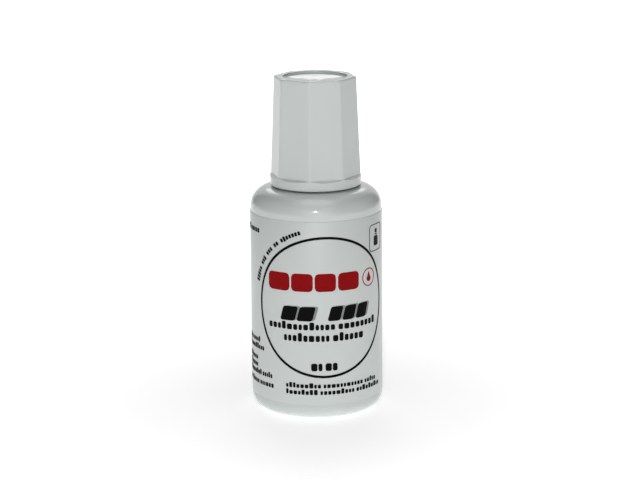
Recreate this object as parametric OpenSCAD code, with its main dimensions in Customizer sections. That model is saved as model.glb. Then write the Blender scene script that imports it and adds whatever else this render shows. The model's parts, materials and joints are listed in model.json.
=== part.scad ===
// Correction fluid bottle with an eight-sided screw cap that carries the brush.
// Millimetres, +Z up, origin at the centre of the ring that the bottle stands on.
// The front of the print faces -Y.

/* [Bottle] */
// Diameter of the straight body under the label
body_d = 29.7; // [27:0.1:38]
// Height of the shoulder at the root of the neck
shoulder_h = 51.2; // [48:0.1:70]
// Thickness of the body's wall
wall_t = 1; // [0.9:0.05:1.6]
// Thickness of the base
floor_t = 1.2; // [0.8:0.1:2.5]
// Radius of the rounded edge round the base
base_round = 3.2; // [2.5:0.1:4.5]
// Radius of the rounded shoulder
shoulder_round = 4.4; // [3:0.1:5]
// Rise of the shoulder between its round and the neck
shoulder_rise = 0.2; // [0.1:0.05:1]
// Rise of the domed middle of the base
push_up = 1.2; // [0.5:0.1:2]
// Width of the flat ring that the bottle stands on
foot_w = 2.3; // [1:0.1:3]

/* [Neck] */
// Diameter of the neck under its thread
neck_d = 14; // [12:0.1:16]
// Height of the neck's rim above the shoulder
neck_h = 10.8; // [9:0.1:14]
// Thickness of the neck's wall
neck_t = 1.2; // [0.9:0.05:1.5]
// Radius of the fillet between shoulder and neck
neck_fillet = 0.8; // [0.4:0.1:1.2]

/* [Label] */
// Thickness of the label film
label_t = 0.14; // [0.08:0.01:0.3]
// Bare height between the label and the shoulder's round
bare_top = 0.9; // [0.3:0.1:4]
// Bare height between the base's round and the label
bare_foot = 0.6; // [0.3:0.1:2]
// Thickness of the printed ink
ink_t = 0.06; // [0.04:0.01:0.1]

/* [Print] */
// Width of the printed oval, measured round the label
oval_w = 33.4; // [24:0.1:36]
// Distance from the oval to the label's top
oval_top_gap = 3.3; // [2.3:0.1:5]
// Distance from the oval to the label's foot
oval_foot_gap = 6.2; // [5:0.1:10]
// Thickness of the oval's line
oval_line = 0.42; // [0.2:0.02:1]
// Distance from the red bar's left end to the oval's line
bar_margin = 0.2; // [0.1:0.1:3]
// Height of the red bar
bar_h = 4.2; // [2:0.1:5]
// Gap between the black blocks and the red bar above them
bar_gap = 3.4; // [1:0.1:5]
// Diameter of the red dot at the bar's right end
dot_d = 4.2; // [2:0.1:5]
// Gap between the red bar and the dot
dot_gap = 1.2; // [0.5:0.1:3]
// Distance from the dot to the oval's line
dot_margin = 1.8; // [0.5:0.1:3]
// Distance from the slanted black blocks to the oval's line
block_margin = 5.3; // [3:0.1:7]
// Height of the slanted black blocks
block_h = 3.3; // [2:0.1:4]
// Sideways lean of the blocks over their height
block_lean = 0.9; // [0:0.05:2]
// Gap between two blocks
block_gap = 0.5; // [0.2:0.05:1]
// Wider gap after the second block
block_space = 2.4; // [0.5:0.1:3]
// Sideways shift of the blocks' grey shadow
shadow_shift = 0.55; // [0.2:0.05:1]
// Drop of the blocks below the oval's middle
block_drop = 1.4; // [0:0.1:2]
// Height of the two rows under the blocks
row_h = 1.5; // [0.6:0.1:1.8]
// Gap between the blocks and the upper row
row_gap = 0.7; // [0.4:0.1:2]
// Gap between the upper row and the lower
row_space = 1; // [0.5:0.1:2]
// Distance from the upper row's ends to the oval's line
row_margin = 1.7; // [1:0.1:4]
// Rise of the short row near the oval's foot
foot_row_rise = 2.6; // [2:0.1:4]
// Height of the small rows
small_h = 0.8; // [0.4:0.1:1.2]
// Distance between two small rows
small_pitch = 1.5; // [1.3:0.1:2]
// Gap between the oval and the small rows under it
small_gap = 2; // [1:0.1:2.5]
// Width of the small square frame at the upper right
frame_w = 5.8; // [3:0.1:6.5]
// Thickness of the frame's line
frame_line = 0.25; // [0.15:0.05:0.5]

/* [Cap] */
// Height of the cap
cap_h = 24.5; // [22:0.1:30]
// Number of flat sides
sides = 8; // [6:1:10]
// Thickness of the skirt round the thread
skirt_t = 2.25; // [1.8:0.05:3]
// Room between the neck and the skirt for the two threads
thread_room = 1.05; // [0.8:0.05:1.5]
// Height of the round collar at the foot of the cap
collar_h = 2.3; // [1.5:0.1:4]
// How much the corners draw in from collar to top
cap_taper = 0.9; // [0.2:0.05:1.4]
// Height of the slope between collar and sides
ledge_h = 0.7; // [0.3:0.1:1.5]
// Softening of the edges round the top
top_edge = 0.35; // [0.1:0.05:0.6]
// Diameter of the round recess in the top
recess_d = 14; // [10:0.1:15]
// Depth of the recess
recess_depth = 1; // [0.4:0.1:2]
// Thickness of the cap's top under the recess
top_t = 1.4; // [1:0.1:2.5]
// Gap between the cap and the shoulder
seam_gap = 0.3; // [0.1:0.05:1]
// Number of stiffening ribs inside the cap
ribs = 8; // [4:1:10]
// Thickness of a rib
rib_t = 0.8; // [0.5:0.1:1.2]
// Angle of the first corner from the front of the print when the cap is tight
cap_angle = -16.7; // [-180:0.1:180]

/* [Seals] */
// Thickness of the foam washer in the cap
liner_t = 1; // [0.5:0.1:2]
// Thickness of the flange of the wiper insert
wiper_flange_t = 0.6; // [0.4:0.1:1]
// Thickness of the wiper insert's wall
wiper_wall = 0.65; // [0.5:0.05:1]
// Depth of the wiper insert below the rim
wiper_depth = 8; // [6:0.1:8.8]
// Diameter of the hole that wipes the brush
wiper_hole = 5.5; // [4.8:0.1:7]

/* [Brush] */
// Diameter of the brush stem
stem_d = 3; // [2.4:0.1:3.4]
// Diameter of the stem's end that grips the bristles
ferrule_d = 4; // [3.8:0.1:4.6]
// Length of the stem's end that grips the bristles
ferrule_h = 5; // [4:0.1:8]
// Depth of the stem's plug in the cap
plug_h = 8; // [5:0.1:9]
// Free length of the bristles
bristle_h = 12.5; // [8:0.1:16]
// Diameter of one strand of bristles
strand_d = 0.62; // [0.5:0.01:0.7]
// Gap between the bristles' tips and the base
tip_gap = 2.1; // [1:0.1:6]

/* [Contents] */
// Empty height between the fluid and the shoulder's round, which leaves 20 ml in the bottle
headspace = 10.5; // [6:0.1:25]
// Diameter of the steel mixing ball
ball_d = 5.5; // [5:0.1:6.5]
// Direction in which the mixing ball lies, from the front of the print
ball_angle = 150; // [-180:1:180]

/* [Hidden] */
$fn = 96;

bottle_white = "#dfe4e2";
label_white = "#e6eae8";
cap_white = "#d9dfdd";
ink_black = "#1d1c1e";
ink_red = "#b0131e";
ink_grey = "#8d9290";
insert_white = "#eef0ee";
foam_white = "#f4f2ea";
steel = "#b4b8bb";
fluid_white = "#fbfbf8";
bristle_tan = "#cfc6ae";

arc_steps = 10;        // straight steps in a quarter of a round
oval_steps = 80;       // straight steps round the printed oval
slip = 0.02;           // radial play of a piece pushed into another
film_gap = 0.01;       // play behind the label and behind the ink
edge = 0.3;            // small softening of an edge
past = 1;              // reach of a cut beyond what it cuts
ball_play = 0.05;      // play between the ball and what it lies on
fluid_play = 0.05;     // play between the fluid and the bottle

body_r = body_d / 2;
foot_r = body_r - base_round;                    // outer edge of the standing ring
dome_r = foot_r - foot_w;                        // inner edge of the standing ring
cavity_r = body_r - wall_t;
cavity_round = base_round - wall_t;
shoulder_z = shoulder_h - shoulder_rise;         // top of the shoulder's round
neck_r = neck_d / 2;
bore_r = neck_r - neck_t;
rim_z = shoulder_h + neck_h;

label_bottom = base_round + bare_foot;
label_top = shoulder_z - shoulder_round - bare_top;
label_r = body_r + film_gap + label_t;
ink_r = label_r + film_gap;

// Heights of the print, stacked from the oval's middle
oval_h = label_top - oval_top_gap - label_bottom - oval_foot_gap;
oval_z = label_bottom + oval_foot_gap + oval_h / 2;
block_z = oval_z - block_drop;
bar_z = block_z + block_h / 2 + bar_gap + bar_h / 2;
row_z = block_z - block_h / 2 - row_gap - row_h / 2;
low_row_z = row_z - row_h - row_space;
foot_row_z = oval_z - oval_h / 2 + foot_row_rise;

// Places and reaches of the print, measured round the label
bar_from = bar_margin - oval_room(bar_z + bar_h / 2);
dot_at = oval_room(bar_z) - dot_margin - dot_d / 2;
bar_to = dot_at - dot_d / 2 - dot_gap;
block_count = 5;
block_reach = oval_room(block_z - block_h / 2) - block_margin;
block_w = (2 * block_reach - (block_count - 1) * block_gap - block_space) / block_count;
row_reach = oval_room(row_z - row_h / 2) - row_margin;
low_row_reach = 0.7 * row_reach;
foot_row_reach = 3;
small_from = -9.5;
small_to = 14;
side_from = -34;
side_ends = [-13, -13.1, -18.6, -18.9, -16.1, -17.7];
side_rise = 3.45;                                // lowest side row above the label's foot
side_pitch = 1.95;
frame_angle = 46;                                // place on the oval that the frame's corner touches
frame_bite = 0.33;                               // reach of that corner into the oval's line
frame_at = (oval_w / 2 - frame_bite) * cos(frame_angle) + frame_w / 2;
frame_z = oval_z + (oval_h / 2 - frame_bite) * sin(frame_angle) + frame_w / 2;
arch_words = 5;                                  // words along the outside of the oval
arch_gap = 1.7;
arch_from = 164;
arch_step = 11.5;
arch_word = 9;

cap_z = shoulder_h + seam_gap;
cap_top = cap_z + cap_h;
liner_bottom = rim_z + wiper_flange_t;
liner_top = liner_bottom + liner_t;
skirt_r = neck_r + thread_room;
collar_r = skirt_r + skirt_t;
collar_top = cap_z + collar_h;
corner_inset = 0.07;                             // how far the corners are rounded back
corner_r = collar_r - 0.05;                      // radius to the sharp corners at the collar
liner_ledge = 0.35;                              // width of the ledge that holds the foam washer
core_r = skirt_r - liner_ledge;
core_draft = 0.5;                                // narrowing of the hollow above the washer
recess_draft = 0.8;                              // widening of the recess over twice its depth
core_top = cap_top - recess_depth - top_t;
liner_play = 0.15;

wiper_r = bore_r - slip;
wiper_bore_r = wiper_r - wiper_wall;
wiper_flange_r = neck_r - edge;
wiper_z = rim_z - wiper_depth;
wiper_lip = 0.8;                                 // height of the straight edge of the wiping hole

stem_r = stem_d / 2;
plug_r = stem_r + 0.1;
plug_boss_t = 1.8;                               // thickness of the cap's boss round the plug
stem_flange_r = plug_r + 0.8;
stem_flange_t = 0.8;
strand_pitch = strand_d - 0.02;                  // strands press into one another
strand_rings = 2;
tuft_r = strand_rings * strand_pitch + strand_d / 2;
tuft_seat = ferrule_h - 1;                       // depth of the blind hole for the tuft
tip_angle = 30;                                  // rise of the rounded tip's outer strands, in degrees
tip_z = floor_t + push_up + tip_gap;
ferrule_z = tip_z + bristle_h;
clip_w = 2 * (ferrule_d / 2 - edge);             // the clip bites into the wall of the hole
clip_h = 1.2;
clip_t = 0.3;
clip_z = ferrule_z + tuft_seat - clip_h - 1;

ball_r = ball_d / 2;
ball_path_r = cavity_r - ball_r - ball_play;
ball_z = floor_t + ball_r + ball_play;
well_r = ferrule_d / 2 + 0.6;
well_z = tip_z - 0.5;

fluid_level = shoulder_z - shoulder_round - headspace;

// Points of a round stretch about the point (r, z), from one angle to another
function arc(r, z, radius, from, to) =
    [for (i = [0 : arc_steps]) let (a = from + (to - from) * i / arc_steps)
        [r + radius * cos(a), z + radius * sin(a)]];

// Points of a shallow dome that rises by `rise` above z at the axis and ends on radius `reach`
function dome(reach, rise, z) = let (
        radius = (pow(reach, 2) + pow(rise, 2)) / (2 * rise),
        half = asin(reach / radius))
    [for (i = [0 : arc_steps]) let (a = half * i / arc_steps)
        [radius * sin(a), z + rise - radius * (1 - cos(a))]];

// Floor of the cavity from the axis to the foot of its wall, held back by `play`
function cavity_floor(play) = concat(
    dome(dome_r, push_up, floor_t + play),
    arc(cavity_r - cavity_round, floor_t + cavity_round, cavity_round - play, -90, 0));

function reversed(points) = [for (i = [len(points) - 1 : -1 : 0]) points[i]];
function sum(values, count) = count == 0 ? 0 : values[count - 1] + sum(values, count - 1);
function turn(length) = length / label_r * 180 / PI;
// Carries outline points measured round the label to where they stand when seen from the front
function wrapped(points) = [for (p = points) [label_r * sin(turn(p[0])), p[1]]];

// Blow-moulded bottle in one piece: domed base, rounded edge, straight body, shoulder and neck
module bottle() color(bottle_white) rotate_extrude() polygon(concat(
    dome(dome_r, push_up, 0),
    arc(body_r - base_round, base_round, base_round, -90, 0),
    arc(body_r - shoulder_round, shoulder_z - shoulder_round, shoulder_round, 0, 90),
    arc(neck_r + neck_fillet, shoulder_h + neck_fillet, neck_fillet, 270, 180),
    [[neck_r, rim_z - edge], [neck_r - edge, rim_z], [bore_r, rim_z]],
    arc(neck_r + neck_fillet, shoulder_h + neck_fillet, neck_fillet + neck_t, 180, 270),
    arc(body_r - shoulder_round, shoulder_z - shoulder_round, shoulder_round - wall_t, 90, 0),
    reversed(cavity_floor(0))));

// Film label wrapped round the straight body
module label() color(label_white) rotate_extrude()
    translate([body_r + film_gap, label_bottom]) square([label_t, label_top - label_bottom]);

// Thin shell of ink over the whole label, from which shapes are cut
module ink_shell() rotate_extrude()
    translate([ink_r, label_bottom]) square([ink_t, label_top - label_bottom]);

// A flat shape seen from the front, cut out of the shell of ink
module ink() intersection() {
    ink_shell();
    rotate([90, 0, 0]) linear_extrude(height = ink_r + past) children();
}

// A field of ink between two places round the label and two heights
module field(from, to, low, high) rotate([0, 0, turn(from) - 90])
    rotate_extrude(angle = turn(to - from)) translate([ink_r, low]) square([ink_t, high - low]);

// A row of word-long fields that fills the stretch between two places
module row(z, height, from, to, words) {
    space = 1;
    unit = (to - from) / (sum(words, len(words)) + space * (len(words) - 1));
    for (i = [0 : len(words) - 1]) {
        start = from + unit * (sum(words, i) + i * space);
        field(start, start + unit * words[i], z - height / 2, z + height / 2);
    }
}

// Half of the width that the oval's line leaves free at the height z
function oval_room(z) = (oval_w / 2 - oval_line) * sqrt(1 - pow((z - oval_z) / (oval_h / 2 - oval_line), 2));

// Outline of the oval, drawn in by `inset`
function oval(inset) = [for (i = [0 : oval_steps - 1]) let (a = 360 * i / oval_steps)
    [(oval_w / 2 - inset) * cos(a), oval_z + (oval_h / 2 - inset) * sin(a)]];

function dot(at, z) = [for (i = [0 : 4 * arc_steps - 1]) let (a = 90 * i / arc_steps)
    [at + dot_d / 2 * cos(a), z + dot_d / 2 * sin(a)]];

function square_frame(at, z, inset) = [for (c = [[-1, -1], [1, -1], [1, 1], [-1, 1]])
    [at, z] + c * (frame_w / 2 - inset)];

// One leaning block that starts at `from`, grown by `grow` all round
function block(from, grow) = [for (c = [[0, -1], [1, -1], [1, 1], [0, 1]])
    [from + c[0] * block_w + (2 * c[0] - 1) * grow + c[1] * block_lean / 2,
     block_z + c[1] * (block_h / 2 + grow)]];

// A short field that follows the outside of the oval between two angles
function arched(from, to) = let (angles = [from, (from + to) / 2, to])
    [for (side = [-1, 1], i = [0 : 2]) let (a = angles[side < 0 ? i : 2 - i], gap = arch_gap + side * small_h / 2)
        [(oval_w / 2 + gap) * cos(a), oval_z + (oval_h / 2 + gap) * sin(a)]];

module blocks(shift, grow) for (i = [0 : block_count - 1])
    polygon(wrapped(block(shift - block_reach + i * (block_w + block_gap) + (i > 1 ? block_space : 0), grow)));

module print_black() color(ink_black) {
    ink() difference() {
        polygon(wrapped(oval(0)));
        polygon(wrapped(oval(oval_line)));
    }
    ink() difference() {
        polygon(wrapped(square_frame(frame_at, frame_z, 0)));
        polygon(wrapped(square_frame(frame_at, frame_z, frame_line)));
    }
    ink() blocks(0, 0);
    row(row_z, row_h, -row_reach, row_reach, [9, 5, 6]);
    row(low_row_z, row_h, -low_row_reach, low_row_reach, [6, 7]);
    row(foot_row_z, row_h, -foot_row_reach, foot_row_reach, [3, 3]);
    for (i = [0 : 1])
        row(oval_z - oval_h / 2 - small_gap - i * small_pitch, small_h, small_from, small_to, [5, 8, 6]);
    for (i = [0 : len(side_ends) - 1])
        row(label_bottom + side_rise + i * side_pitch, small_h, side_from, side_ends[i], [6, 3, 8, 5]);
    for (i = [0 : arch_words - 1])
        ink() polygon(wrapped(arched(arch_from - i * arch_step, arch_from - i * arch_step - arch_word)));
}

module print_red() color(ink_red) {
    field(bar_from, bar_to, bar_z - bar_h / 2, bar_z + bar_h / 2);
    ink() polygon(wrapped(dot(dot_at, bar_z)));
}

// Shadow that shows to the right of the black blocks
module print_grey() color(ink_grey) ink() difference() {
    blocks(shadow_shift, 0);
    blocks(0, film_gap);
}

// Push-in insert with the hole that wipes the brush
module neck_wiper() color(insert_white) rotate_extrude() polygon([
    [wiper_bore_r, liner_bottom],
    [wiper_bore_r, wiper_z + wiper_lip + wiper_bore_r - wiper_hole / 2],
    [wiper_hole / 2, wiper_z + wiper_lip],
    [wiper_hole / 2, wiper_z],
    [wiper_r, wiper_z + (wiper_r - wiper_hole / 2) * 0.8],
    [wiper_r, rim_z],
    [wiper_flange_r, rim_z],
    [wiper_flange_r, liner_bottom]
]);

// Steel ball that stirs the fluid when the bottle is shaken
module mixing_ball() color(steel) ball(ball_r);

module ball(radius) rotate([0, 0, ball_angle - 90]) translate([ball_path_r, 0, ball_z]) sphere(r = radius);

// The fluid at rest, open where the brush and the ball stand in it
module correction_fluid() color(fluid_white) difference() {
    rotate_extrude() polygon(concat(
        cavity_floor(fluid_play),
        [[cavity_r - fluid_play, fluid_level], [0, fluid_level]]));
    translate([0, 0, well_z]) cylinder(r = well_r, h = fluid_level);
    ball(ball_r + ball_play);
}

// Foam washer between the cap and the rim, round the brush stem
module cap_liner() color(foam_white) translate([0, 0, liner_bottom]) difference() {
    cylinder(r = skirt_r - liner_play, h = liner_t);
    translate([0, 0, -past]) cylinder(r = plug_r + 2 * liner_play, h = liner_t + 2 * past);
}

// Outside of the cap before its sides are cut: round collar, cone through the soft corners, softened top
module cap_blank() rotate_extrude() polygon([
    [0, cap_z], [collar_r - edge / 2, cap_z], [collar_r, cap_z + edge / 2], [collar_r, collar_top],
    [corner_r - corner_inset, collar_top], [corner_r - corner_inset - cap_taper, cap_top - top_edge],
    [corner_r - corner_inset - cap_taper - top_edge, cap_top], [0, cap_top]
]);

// What is cut away outside one flat side, with the slope down to the collar
module side_cut() {
    low = corner_r * cos(180 / sides);
    high = (corner_r - cap_taper) * cos(180 / sides);
    beyond = collar_r + past;
    rotate([90, 0, 0]) linear_extrude(height = 2 * beyond, center = true) polygon([
        [beyond, collar_top - (beyond - low) / 2], [low + ledge_h / 3, collar_top + ledge_h / 3],
        [low, collar_top + ledge_h], [high, cap_top - top_edge], [high - top_edge, cap_top],
        [high - top_edge, cap_top + past], [beyond, cap_top + past]
    ]);
}

// Skirt with its lead-in, the ledge for the washer and the hollow above it
module cap_hollow() rotate_extrude() polygon([
    [0, cap_z - past], [skirt_r + edge + past, cap_z - past], [skirt_r, cap_z + edge], [skirt_r, liner_top],
    [core_r, liner_top], [core_r - core_draft, core_top], [0, core_top]
]);

// Ribs and boss inside the cap. Their feet press on the foam washer.
module cap_ribs() intersection() {
    union() {
        translate([0, 0, liner_top]) cylinder(r = plug_r + plug_boss_t, h = core_top - liner_top + edge);
        for (i = [0 : ribs - 1]) rotate([0, 0, 360 * i / ribs + 180 / ribs])
            translate([0, -rib_t / 2, liner_top]) cube([core_r + edge, rib_t, core_top - liner_top + edge]);
    }
    translate([0, 0, liner_top]) cylinder(r1 = core_r + edge, r2 = core_r - core_draft + edge,
        h = core_top - liner_top + edge);
}

// Moulded cap: eight tapering sides over a round collar, recessed top, ribbed inside
module cap_shell() color(cap_white) rotate([0, 0, cap_angle - 90]) difference() {
    union() {
        difference() {
            cap_blank();
            for (i = [0 : sides - 1]) rotate([0, 0, 360 * (i + 0.5) / sides]) side_cut();
            cap_hollow();
        }
        cap_ribs();
    }
    translate([0, 0, cap_top - recess_depth])
        cylinder(d1 = recess_d, d2 = recess_d + recess_draft, h = 2 * recess_depth);
    translate([0, 0, liner_top - past]) cylinder(r = plug_r + slip, h = plug_h + past);
}

// Brush stem: plug in the cap, flange under the washer, rod and the end that grips the bristles
module brush_stem() color(insert_white) difference() {
    rotate_extrude() polygon([
        [0, ferrule_z], [ferrule_d / 2 - edge, ferrule_z], [ferrule_d / 2, ferrule_z + edge],
        [ferrule_d / 2, ferrule_z + ferrule_h], [stem_r, ferrule_z + ferrule_h + ferrule_d / 2 - stem_r],
        [stem_r, liner_bottom - 2 * stem_flange_t], [stem_flange_r, liner_bottom - stem_flange_t],
        [stem_flange_r, liner_bottom], [plug_r, liner_bottom],
        [plug_r, liner_top + plug_h - edge], [plug_r - edge, liner_top + plug_h], [0, liner_top + plug_h]
    ]);
    translate([0, 0, ferrule_z - past]) cylinder(r = tuft_r + slip, h = tuft_seat + past);
    clip(slip);
}

// Flat metal clip that holds the folded bristles in the stem
module bristle_clip() color(steel) clip(0);

module clip(play) translate([0, 0, clip_z + clip_h / 2])
    cube([clip_w + 2 * play, clip_t + 2 * play, clip_h + 2 * play], center = true);

// Bristles as a bundle of strands with a rounded tip
module bristles() color(bristle_tan) difference() {
    intersection() {
        translate([0, 0, tip_z]) linear_extrude(height = bristle_h + tuft_seat - slip)
            for (i = [-strand_rings : strand_rings], j = [-strand_rings : strand_rings])
                if (abs(i + j) <= strand_rings)
                    translate(strand_pitch * [i + j / 2, j * sin(60)]) circle(d = strand_d);
        rotate_extrude() polygon(concat(
            [[0, tip_z]], arc(0, tip_z + 2 * tuft_r, 2 * tuft_r, -90, -tip_angle),
            [[tuft_r + past, ferrule_z], [tuft_r + past, ferrule_z + tuft_seat], [0, ferrule_z + tuft_seat]]));
    }
    clip(slip);
}

bottle();
label();
print_black();
print_red();
print_grey();
neck_wiper();
mixing_ball();
correction_fluid();
cap_liner();
cap_shell();
brush_stem();
bristle_clip();
bristles();
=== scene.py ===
# %% [markdown]
# A correction fluid bottle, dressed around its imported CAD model.
#
# The bottle is a blow-moulded round body of about 20 ml with a printed label. Its screw cap has
# eight tapering sides and carries the brush. The CAD model fixes every size, so this script loads
# it as a frame and models each visible piece again, finer, in the same place.

# %% Load the frame
import bmesh
import bpy
import json
import math
import random
from mathutils import Matrix, Vector

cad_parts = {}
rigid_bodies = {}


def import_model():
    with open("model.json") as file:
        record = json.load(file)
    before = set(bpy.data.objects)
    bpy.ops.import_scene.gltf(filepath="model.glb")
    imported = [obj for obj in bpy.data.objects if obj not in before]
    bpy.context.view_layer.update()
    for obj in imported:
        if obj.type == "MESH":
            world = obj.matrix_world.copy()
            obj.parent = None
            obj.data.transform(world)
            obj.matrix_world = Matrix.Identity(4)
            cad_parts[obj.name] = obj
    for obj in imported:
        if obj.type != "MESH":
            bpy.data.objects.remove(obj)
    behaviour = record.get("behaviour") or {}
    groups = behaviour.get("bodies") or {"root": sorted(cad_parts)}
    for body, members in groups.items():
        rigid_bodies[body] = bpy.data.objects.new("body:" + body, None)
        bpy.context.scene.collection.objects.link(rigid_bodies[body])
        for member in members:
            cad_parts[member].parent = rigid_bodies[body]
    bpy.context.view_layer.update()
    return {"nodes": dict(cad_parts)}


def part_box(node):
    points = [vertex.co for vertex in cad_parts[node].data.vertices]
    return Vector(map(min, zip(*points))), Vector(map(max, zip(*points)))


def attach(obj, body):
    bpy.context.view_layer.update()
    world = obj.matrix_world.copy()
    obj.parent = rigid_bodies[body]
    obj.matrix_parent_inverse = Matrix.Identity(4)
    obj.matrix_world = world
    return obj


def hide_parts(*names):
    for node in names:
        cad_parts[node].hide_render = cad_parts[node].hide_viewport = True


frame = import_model()
MM = 0.001


# %% [markdown]
# The driving sizes come from the frame: the body's width, the height of the rim, the span of the
# label and the foot and top of the cap. They could be typed in again, but then a change in the CAD
# model would leave this script behind, so they are read from the nodes' boxes. Everything is in
# millimetres up to the last step, where a finished mesh is scaled to metres.

# %% Sizes from the frame
def box_mm(node):
    low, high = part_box(node)
    return low / MM, high / MM


body_r = box_mm("bottle")[1].x
rim_z = box_mm("bottle")[1].z
label_bottom = box_mm("label")[0].z
label_top = box_mm("label")[1].z
label_r = box_mm("label")[1].x
cap_z = box_mm("cap_shell")[0].z
cap_top = box_mm("cap_shell")[1].z
collar_r = box_mm("cap_shell")[1].x
liner_bottom = box_mm("cap_liner")[0].z
liner_top = box_mm("cap_liner")[1].z
tip_z = box_mm("bristles")[0].z
stem_foot = box_mm("brush_stem")[0].z
stem_top = box_mm("brush_stem")[1].z
print(f"body {2 * body_r:.1f} mm wide, rim at {rim_z:.1f}, cap {cap_z:.1f} to {cap_top:.1f}")

# %% [markdown]
# The camera comes first, because every later choice is judged through it. The reference was taken
# from half a metre away with a long lens, looking 13 degrees down and 8 degrees from the left of
# the print, with the picture very slightly rolled. A camera could be dragged into place by eye. A
# point on a sphere round the bottle was chosen instead, because a turn, a tilt and a distance each
# change one thing only, and the lamps can be placed by the same helper.

# %% Camera at the reference's angle
AIM = Vector((0, 0, 38.3))
CAMERA_DISTANCE = 511
CAMERA_TURN = math.radians(-8.2)
CAMERA_TILT = math.radians(13)
CAMERA_ROLL = math.radians(-0.5)
LENS = 126.6
SHIFT = 0.0058


def around(turn, tilt, distance):
    """A point seen from AIM at a turn round the bottle, a tilt above level and a distance."""
    return AIM + distance * Vector((math.sin(turn) * math.cos(tilt),
                                    -math.cos(turn) * math.cos(tilt), math.sin(tilt)))


def facing(place):
    return (AIM - place).to_track_quat("-Z", "Y").to_euler()


camera_place = around(CAMERA_TURN, CAMERA_TILT, CAMERA_DISTANCE)
camera = bpy.data.objects.new("camera", bpy.data.cameras.new("camera"))
camera.location = camera_place * MM
camera.rotation_euler = (facing(camera_place).to_matrix()
                         @ Matrix.Rotation(CAMERA_ROLL, 3, "Z")).to_euler()
camera.data.lens = LENS
camera.data.shift_x = SHIFT
camera.data.clip_start = 10 * MM
bpy.context.scene.collection.objects.link(camera)
bpy.context.scene.camera = camera
print("camera at", [round(c) for c in camera_place], "mm")

# %% [markdown]
# Light for white plastic is mostly about restraint: white on white only shows its form where the
# light falls off towards the sides. One big lamp in front would be enough for the front, but it
# leaves the cap's top and the far edges dull. So wide softboxes stand in front, overhead and
# behind, a faint one lifts the left side, and a small lamp beside the camera gives the short
# bright glint on the shoulder.

# %% Lamps
def softbox(name, turn, tilt, distance, size, watts):
    lamp = bpy.data.lights.new(name, "AREA")
    lamp.shape = "DISK"
    lamp.size = size * MM
    lamp.energy = watts
    holder = bpy.data.objects.new(name, lamp)
    place = around(math.radians(turn), math.radians(tilt), distance)
    holder.location = place * MM
    holder.rotation_euler = facing(place)
    bpy.context.scene.collection.objects.link(holder)
    print(f"{name}: {watts} W, {size} mm wide")


softbox("front_softbox", turn=-6, tilt=14, distance=620, size=420, watts=0.28)
softbox("left_softbox", turn=-65, tilt=10, distance=620, size=420, watts=0.02)
softbox("top_softbox", turn=0, tilt=80, distance=620, size=420, watts=0.8)
softbox("back_softbox", turn=172, tilt=36, distance=620, size=420, watts=0.7)
softbox("camera_lamp", turn=-9, tilt=24, distance=540, size=20, watts=0.72)

# %% [markdown]
# A material is a small tree of nodes, so one helper adds a node with its settings and its inputs,
# and another turns a colour written as sRGB hex into the linear numbers that Cycles wants. All
# patterns read Object coordinates, which are metres here, so a scale in features per metre is
# 1000 divided by the feature's size in millimetres.

# %% Helpers for materials
def colour(hex_code):
    """An sRGB hex colour as linear RGBA."""
    values = [int(hex_code[i:i + 2], 16) / 255 for i in (1, 3, 5)]
    return [v / 12.92 if v <= 0.04045 else ((v + 0.055) / 1.055) ** 2.4 for v in values] + [1]


def add(tree, kind, inputs=None, **settings):
    """Adds one node. An input is given by socket, as a value or as another node's output."""
    made = tree.nodes.new(kind)
    for name, value in settings.items():
        setattr(made, name, value)
    for socket, value in (inputs or {}).items():
        if isinstance(value, bpy.types.NodeSocket):
            tree.links.new(value, made.inputs[socket])
        else:
            made.inputs[socket].default_value = value
    return made


def every(mm):
    """The texture scale that gives features of about this size in millimetres."""
    return 1 / (mm * MM)


def new_material(name):
    """An empty node tree with its output, and the object coordinates that the patterns read."""
    material = bpy.data.materials.new(name)
    material.use_nodes = True
    tree = material.node_tree
    tree.nodes.clear()
    output = add(tree, "ShaderNodeOutputMaterial")
    place = add(tree, "ShaderNodeTexCoord").outputs["Object"]
    return material, tree, output, place


MIX_FACTOR, MIX_A, MIX_B, MIX_RESULT = 0, 6, 7, 2   # the colour sockets of a Mix node
print("#CDD3D0 is linear", [round(v, 3) for v in colour("#CDD3D0")])
print("features of 7 mm take the scale", round(every(7)))

# %% [markdown]
# The bottle is blow-moulded high-density polyethylene: a hot tube of plastic is blown against a
# finely blasted mould. The skin has a soft shine, is slightly wavy because the wall's thickness
# varies, and carries a faint raised line where the two halves of the mould met. A smooth glossy
# white would look like glazed china. Waves about 7 mm long, a fine grain and a little light under
# the skin turn it into plastic, and a narrow band around Y = 0 does the parting line.

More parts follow.
